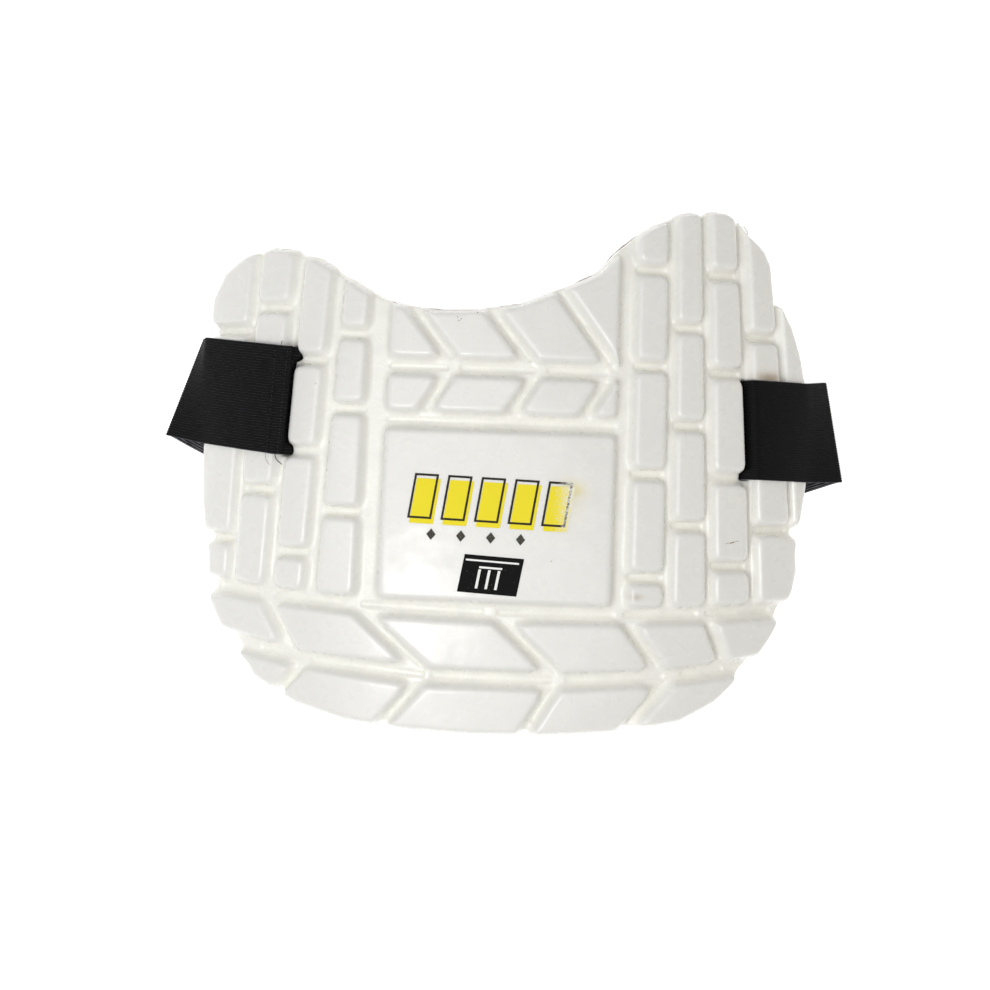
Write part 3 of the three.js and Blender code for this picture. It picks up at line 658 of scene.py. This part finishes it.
thread_ends = [
    loose_end([[-116, 58, 8.7], [-115.6, 61.5, 9], [-115.4, 63.4, 8.2]], 0.35),
    loose_end([[-117, 7, 8.6], [-116.6, 4.2, 8.8], [-115.2, 2.4, 8], [-113.4, 0.9, 7.2]], 0.45),
    loose_end([[-122.6, 7, 8.4], [-122.9, 3.6, 7.8], [-122.2, 1.6, 6.6], [-121, 0.4, 6.2]], 0.15),
]
stitches = [stitch for out in STITCHED_AT for stitch in stitch_row(out)]
stitching = joined(stitches + thread_ends, "hem_stitching")
only(stitching)
bpy.ops.object.shade_smooth()
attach(stitching, "root")
print("hem_stitching", len(stitches), "stitches,", len(stitching.data.polygons), "faces")

# %% [markdown]
# ## Print on the panel
# The panel carries a screen print: ink a few hundredths of a millimetre thick. This one is plain: five
# slanted yellow bars with dark outlines that were printed a little off register, four small diamonds, and
# a dark plate with a set of stumps. Each shape is a few four-cornered patches that are cut fine enough to
# follow the film's ripples and closed into a thin sheet.

# %% Patches of ink
INK_STEP = 1.4
INK = 0.03
FIRST_COAT, SECOND_COAT = 0.06, 0.1


def patch(corners):
    a, b, c, d = [np.array(corner, float) for corner in corners]
    wide = max(1, math.ceil(max(np.linalg.norm(b - a), np.linalg.norm(c - d)) / INK_STEP))
    tall = max(1, math.ceil(max(np.linalg.norm(d - a), np.linalg.norm(c - b)) / INK_STEP))
    only_none()
    bpy.ops.mesh.primitive_grid_add(x_subdivisions=wide, y_subdivisions=tall, size=2)
    piece = bpy.context.object
    u, v = ((vertices(piece)[:, :2] + 1) / 2).T[:, :, None]
    plan = (a * (1 - u) + b * u) * (1 - v) + (d * (1 - u) + c * u) * v
    move_vertices(piece, np.column_stack([plan, np.zeros(len(plan))]))
    return piece


def frame_patches(corners, thick):
    corners = np.array(corners, float)
    inner = []
    for k in range(4):
        before, here, after = corners[k - 1], corners[k], corners[(k + 1) % 4]
        back = (before - here) / np.linalg.norm(before - here)
        on = (after - here) / np.linalg.norm(after - here)
        inner.append(here + (back + on) * thick / abs(back[0] * on[1] - back[1] * on[0]))
    return [(corners[k], corners[(k + 1) % 4], inner[(k + 1) % 4], inner[k]) for k in range(4)]


def printed(name, patches, middle, turn, lift):
    piece = joined([patch(corners) for corners in patches], name)
    only(piece)
    bpy.ops.object.mode_set(mode="EDIT")
    bpy.ops.mesh.select_all(action="SELECT")
    bpy.ops.mesh.remove_doubles(threshold=0.01)
    bpy.ops.mesh.normals_make_consistent(inside=False)
    bpy.ops.object.mode_set(mode="OBJECT")
    x, y, _ = vertices(piece).T
    c, d = math.cos(math.radians(turn)), math.sin(math.radians(turn))
    s, y = middle[0] + x * c - y * d, middle[1] + x * d + y * c
    rise = np.array([ripple(*place) for place in zip(s, y)])
    move_vertices(piece, bend(np.column_stack([s, y, BLOCK + rise + lift])) * MM)
    if sum(polygon.normal.z for polygon in piece.data.polygons) < 0:
        piece.data.flip_normals()
    solidify = piece.modifiers.new("ink", "SOLIDIFY")
    solidify.thickness = INK * MM
    solidify.offset = 0
    finish_modifiers(piece)
    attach(piece, "root")
    print(name, len(piece.data.polygons), "faces")
    return piece


def slanted(x, y, wide, tall):
    lean = SLANT * tall
    return [(x, y), (x + wide, y), (x + wide + lean, y + tall), (x + lean, y + tall)]


# %% Bars, outlines, diamonds and plate
SLANT = 0.12
BAR, BAR_PITCH, BAR_TALL = 12, 16.6, 22.5
BARS_AT, OUTLINES_AT, BARS_TURN = (-47, -26), (-48, -23.6), -1.6
bars = [slanted(k * BAR_PITCH, 0, BAR, BAR_TALL) for k in range(5)]
yellow_bars = printed("printed_bars", bars, BARS_AT, BARS_TURN, FIRST_COAT)
outlines = [edge for bar in bars for edge in frame_patches(bar, 1.1)]
bar_outlines = printed("printed_outlines", outlines, OUTLINES_AT, BARS_TURN, SECOND_COAT)

DIAMOND, DIAMOND_PITCH = 2.9, 14.8
DIAMONDS_AT = (-35.8, -31.4)
diamond_half = 0.8 * DIAMOND
centres = [k * DIAMOND_PITCH for k in range(4)]
diamonds = [
    [(x, -DIAMOND), (x + diamond_half, 0), (x, DIAMOND), (x - diamond_half, 0)] for x in centres
]
small_diamonds = printed("printed_diamonds", diamonds, DIAMONDS_AT, BARS_TURN, FIRST_COAT)

PLATE_WIDE, PLATE_TALL = 29.5, 19
PLATE_AT, PLATE_TURN = (-22, -59.5), -3
STUMP_FOOT, STUMP_WIDE, STUMP_TALL = 2.4, 1.3, 9.6
plate = [slanted(0, 0, PLATE_WIDE, PLATE_TALL)]
dark_plate = printed("printed_plate", plate, PLATE_AT, PLATE_TURN, FIRST_COAT)
stumps = [slanted(x, STUMP_FOOT, STUMP_WIDE, STUMP_TALL) for x in (8.6, 13.4, 18.2)]
bail = slanted(8.4 + 12.6 * SLANT, 12.6, 11.4, 1)
rule = slanted(3, 15.9, 26.4, 0.9)
plate_marks = printed("printed_stumps", stumps + [bail, rule], PLATE_AT, PLATE_TURN, SECOND_COAT)

# %% [markdown]
# Use has left a few scuffs on the film: specks on the upper band, a short scratch on a right-hand block
# and a pair of fine dark hairlines. They are patches too, far smaller than the shell's faces could show.

# %% Scuffs
def hairline(x, y, x2, y2, thick):
    return [(x, y), (x2, y2), (x2, y2 + thick), (x, y + thick)]


specks = [(-26.6, 77, 0.5), (-24.8, 76.2, 0.5), (-25.9, 75.3, 0.5), (-16.8, 79.6, 0.5)]
specks += [(-97.4, 41.9, 0.4)]
scuffs = [hairline(x, y, x + wide, y, wide) for x, y, wide in specks]
scuffs += [hairline(24, -43, 24.5, -43, 0.4)]
scuffs += [hairline(113.8, -31.6, 121.6, -29.9, 0.16), hairline(116.5, -31.4, 119, -30.8, 0.3)]
scuff_marks = printed("scuff_marks", scuffs, (0, 0), 0, FIRST_COAT)

# %% [markdown]
# ## Floor
# The photo has no surroundings, so a wide white floor stands in for the photographer's table.

# %% Floor
only_none()
bpy.ops.mesh.primitive_plane_add(size=6)
floor = bpy.context.object
floor.name = "studio_floor"

# %% [markdown]
# ## Materials
# Colours are given as the hex values that a picture editor shows and are turned to linear light once, here.
# `put` adds one node with its settings, and `fill` gives its sockets a value or another node's output, so
# that a material reads as a list of its steps and ends with what its surface takes. `millimetres` is where
# every pattern on a piece starts, and `waves` turns a wave's length into the scale of a wave texture.

# %% Colour and node helpers
def linear(code):
    parts = [int(code[i:i + 2], 16) / 255 for i in (1, 3, 5)]
    return tuple(v / 12.92 if v <= 0.04045 else ((v + 0.055) / 1.055) ** 2.4 for v in parts) + (1,)


def fill(material, node, sockets):
    for socket, source in sockets.items():
        if isinstance(source, bpy.types.NodeSocket):
            material.node_tree.links.new(source, node.inputs[socket])
        else:
            node.inputs[socket].default_value = source


def put(material, kind, sockets=None, **settings):
    node = material.node_tree.nodes.new("ShaderNode" + kind)
    for key, value in settings.items():
        setattr(node, key, value)
    fill(material, node, sockets or {})
    return node


def blend(material, share, first, second):
    return put(material, "Mix", {0: share, 6: first, 7: second}, data_type="RGBA").outputs[2]


def spread(material, value, low, high, start=0, end=1):
    sockets = {"Value": value, "From Min": low, "From Max": high, "To Min": start, "To Max": end}
    return put(material, "MapRange", sockets).outputs[0]


def raise_by(material, height, strength, distance):
    sockets = {"Strength": strength, "Distance": distance * MM, "Height": height}
    return put(material, "Bump", sockets).outputs[0]


def finish(name):
    material = bpy.data.materials.new(name)
    material.use_nodes = True
    return material, material.node_tree.nodes["Principled BSDF"]


def millimetres(material):
    place = put(material, "TexCoord").outputs["Object"]
    return put(material, "VectorMath", {0: place, "Scale": 1000}, operation="SCALE").outputs[0]


def waves(length):
    return 2 * math.pi / 20 / length


def wear(piece, material):
    piece.data.materials.clear()
    piece.data.materials.append(material)


# %% [markdown]
# ### Pearly film on moulded foam
# A thin polyurethane film is pressed onto the foam. It is milk white with a satin gloss and a fine grain of
# about 0.7 mm. Deep in the grooves its colour is painted lighter and a little creamier than on the block
# tops, to cancel the shade that falls there. A painted shadow of the strap with a real grey smudge follows
# one attribute kept with the shell, a yellow smear another. A slow mottling over 9 mm keeps large faces
# from looking dead.

# %% Foam film
film, surface = finish("pearly_polyurethane_film")
mm = millimetres(film)
mottle = put(film, "TexNoise", {"Vector": mm, "Scale": 1 / 9, "Detail": 3}).outputs["Fac"]
grain = put(film, "TexNoise", {"Vector": mm, "Scale": 1 / 0.7, "Detail": 2}).outputs["Fac"]
height = put(film, "Attribute", attribute_name="height").outputs["Fac"]
# Painted light: the grooves get a lighter, creamier colour than the block tops, to cancel the shade in
# them.
painted_groove_light_share = spread(film, height, 0.05, 0.75)
film_with_painted_groove_light = blend(film, painted_groove_light_share, linear("#fffdf3"), linear("#f0efeb"))
both = put(film, "Math", {0: mottle, 1: grain}, operation="ADD").outputs[0]
mottled = blend(film, spread(film, both, 0.7, 1.3, 0, 0.7), film_with_painted_groove_light, linear("#e9e9e5"))
# The painted shadow of the strap and the real grey smudge darken the film towards brown-grey.
shadow_and_smudge_share = put(film, "Attribute", attribute_name="strap_shadow_and_smudge").outputs["Fac"]
shadowed_and_smudged = blend(film, shadow_and_smudge_share, mottled, linear("#b8ab97"))
smear = put(film, "Attribute", attribute_name="yellowed").outputs["Fac"]
fill(film, surface, {
    "Base Color": blend(film, smear, shadowed_and_smudged, linear("#e9dfa0")),
    "Roughness": spread(film, mottle, 0.3, 0.7, 0.24, 0.33),
    "Normal": raise_by(film, grain, 0.25, 0.03),
    "IOR": 1.46,
    "Subsurface Weight": 0.4,
    "Subsurface Radius": (1, 0.95, 0.85),
    "Subsurface Scale": 2.5 * MM,
    "Coat Weight": 0.3,
    "Coat Roughness": 0.15,
})
wear(shell, film)
print("film has", len(film.node_tree.nodes), "nodes")

# %% [markdown]
# ### Knitted lining
# The pad behind the foam is faced with warp-knitted polyester, brushed grey with a beige cast. Its loops
# are about 1.2 mm apart, and at the neck they are all that shows of it: matt, with no gloss at all.

# %% Lining cloth
LOOP = 1.2
knitted, surface = finish("knitted_lining")
loop_waves = {"Vector": millimetres(knitted), "Scale": waves(LOOP), "Distortion": 1.4}
loops = put(knitted, "TexWave", loop_waves, bands_direction="X").outputs["Fac"]
courses = put(knitted, "TexWave", loop_waves, bands_direction="Y").outputs["Fac"]
knit = put(knitted, "Math", {0: loops, 1: courses}, operation="MULTIPLY").outputs[0]
fuzz_sockets = {"Vector": loop_waves["Vector"], "Scale": 1 / 0.5, "Detail": 3}
fuzz = put(knitted, "TexNoise", fuzz_sockets).outputs["Fac"]
fill(knitted, surface, {
    "Base Color": blend(knitted, fuzz, linear("#8f8680"), linear("#bdb4ad")),
    "Normal": raise_by(knitted, knit, 0.7, 0.2),
    "Roughness": 0.95,
    "Specular IOR Level": 0.2,
    "Sheen Weight": 0.2,
})
wear(lining, knitted)
print("knitted lining has", len(knitted.node_tree.nodes), "nodes")

# %% [markdown]
# ### Woven elastic
# Rubber cords lie under black polyester yarn, one to each rib, 1.3 mm apart. The crests of the ribs are
# coloured a lighter grey in broken dashes a few millimetres long, raised a little in the bump. All
# of it runs along the band, so it is drawn on the UV map, in millimetres.

# %% Elastic
DASH = 6
elastic, surface = finish("woven_elastic")
uv = put(elastic, "UVMap").outputs[0]
over_width = put(elastic, "SeparateXYZ", {0: uv}).outputs["Y"]
rib_turn = 2 * math.pi * RIBS / STRAP_WIDTH
phase = put(elastic, "Math", {0: over_width, 1: rib_turn}, operation="MULTIPLY").outputs[0]
rib = put(elastic, "Math", {0: phase}, operation="COSINE").outputs[0]
crest = spread(elastic, rib, 0.35, 0.95)
along_ribs = (1 / DASH, 2 * RIBS / STRAP_WIDTH, 1)
stretched = put(elastic, "VectorMath", {0: uv, 1: along_ribs}, operation="MULTIPLY").outputs[0]
broken = put(elastic, "TexNoise", {"Vector": stretched, "Scale": 1, "Detail": 3}).outputs["Fac"]
dash = spread(elastic, broken, 0.25, 0.55)
# Lighter grey dashes on the crests of the ribs.
crest_dashes_and_ink_wear = put(elastic, "Math", {0: crest, 1: dash}, operation="MULTIPLY").outputs[0]
cloud_sockets = {"Vector": millimetres(elastic), "Scale": 1 / 18, "Detail": 2}
cloudy = put(elastic, "TexNoise", cloud_sockets).outputs["Fac"]
ground = blend(elastic, cloudy, linear("#040405"), linear("#09090b"))
fill(elastic, surface, {
    "Base Color": blend(elastic, crest_dashes_and_ink_wear, ground, linear("#6c6c71")),
    "Normal": raise_by(elastic, crest_dashes_and_ink_wear, 0.3, 0.06),
    "Roughness": 0.72,
    "Specular IOR Level": 0.18,
})
for piece in (strap, hem):
    wear(piece, elastic)
print("elastic has", len(elastic.node_tree.nodes), "nodes")

# %% [markdown]
# ### Polyester thread
# The sewing thread is twisted from two plies, a little glossier than the yarn around it. Its twist is drawn
# 0.6 mm long, coarser than it is, so that it shows.

# %% Thread
TWIST = 0.6
thread, surface = finish("twisted_polyester_thread")
twist_waves = {"Vector": millimetres(thread), "Scale": waves(TWIST)}
twist = put(thread, "TexWave", twist_waves, bands_direction="DIAGONAL").outputs["Fac"]
fill(thread, surface, {
    "Base Color": blend(thread, twist, linear("#0e0e10"), linear("#2b2b2f")),
    "Normal": raise_by(thread, twist, 0.5, 0.05),
    "Roughness": 0.55,
    "Specular IOR Level": 0.3,
})
wear(stitching, thread)
print("thread has", len(thread.node_tree.nodes), "nodes")

# %% [markdown]
# ### Screen-print inks
# Screen ink is matt and slightly grainy, because it was pressed through a mesh. Rubbing has worn it
# through in places, where the white film shows. The last yellow bar has nearly gone, so its wear grows to
# the right, from one x to another in millimetres.

# %% Inks
CRISP_WEAR, FADING_WEAR = 0.16, 0.3


def ink(name, colour, wear_from, fade=None):
    material, surface = finish(name)
    mm = millimetres(material)
    grainy = put(material, "TexNoise", {"Vector": mm, "Scale": 1 / 0.6, "Detail": 4}).outputs["Fac"]
    gone = grainy
    if fade:
        x = put(material, "SeparateXYZ", {0: mm}).outputs["X"]
        faded = spread(material, x, *fade, 0, 0.6)
        gone = put(material, "Math", {0: gone, 1: faded}, operation="ADD").outputs[0]
    crest_dashes_and_ink_wear = spread(material, gone, wear_from, wear_from + (FADING_WEAR if fade else CRISP_WEAR))
    fill(material, surface, {
        "Base Color": blend(material, crest_dashes_and_ink_wear, linear(colour), linear("#f2f2ee")),
        "Normal": raise_by(material, grainy, 0.2, 0.03),
        "Roughness": 0.7,
        "Specular IOR Level": 0.08,
    })
    return material


wear(yellow_bars, ink("yellow_screen_ink", "#f7e638", 0.74, fade=(20, 38)))
wear(bar_outlines, ink("charcoal_screen_ink", "#35312a", 0.66, fade=(24, 42)))
wear(small_diamonds, ink("dark_grey_screen_ink", "#4d4a43", 0.64))
wear(dark_plate, ink("black_screen_ink", "#151515", 0.7))
wear(plate_marks, ink("white_screen_ink", "#f8f8f6", 0.7))
wear(scuff_marks, ink("brown_scuff", "#9a8062", 0.7))
print("inks", [m.name for m in bpy.data.materials if "ink" in m.name])

# %% [markdown]
# ### White paper
# The floor is white background paper. It glows a little, as the overlit backdrop of a catalogue photo
# does, and has the faint cloudiness of paper fibre over 30 mm.

# %% Backdrop paper
paper, surface = finish("white_background_paper")
fibre_sockets = {"Vector": millimetres(paper), "Scale": 1 / 30, "Detail": 4}
fibre = put(paper, "TexNoise", fibre_sockets).outputs["Fac"]
fill(paper, surface, {
    "Base Color": blend(paper, fibre, linear("#fafafa"), linear("#ffffff")),
    "Roughness": 0.95,
    "Specular IOR Level": 0.1,
    "Emission Color": linear("#ffffff"),
    "Emission Strength": 0.6,
})
wear(floor, paper)
print("paper has", len(paper.node_tree.nodes), "nodes")

# %% [markdown]
# ## Light
# The photo's light is soft and comes from straight above, near the camera, a touch from the left and from
# the waist. A large softbox gives the body of it, a smaller one beside the camera draws the fine bright
# lines on the moulded edges, a cream wall on the right warms the blocks that lean that way, and a white
# surround fills the grooves.

# %% Lamps and surround
SURROUND = 0.34


def softbox(name, place, size, power):
    only_none()
    bpy.ops.object.light_add(type="AREA", location=place)
    light = bpy.context.object
    light.name = name
    light.data.size = size
    light.data.energy = power
    light.rotation_euler = (-Vector(place)).to_track_quat("-Z", "Y").to_euler()
    return light


softbox("overhead_softbox", (-0.45, -0.3, 1.9), 2.0, 20.5)
softbox("camera_softbox", (-0.4, -0.4, 1.5), 0.35, 4.2)
warm_wall = softbox("warm_wall", (1.3, 0.1, 0.7), 1.2, 0.9)
warm_wall.data.color = linear("#ffdc9a")[:3]
world = bpy.data.worlds.new("white_surround")
bpy.context.scene.world = world
world.use_nodes = True
background = world.node_tree.nodes["Background"]
background.inputs["Color"].default_value = (1, 1, 1, 1)
background.inputs["Strength"].default_value = SURROUND
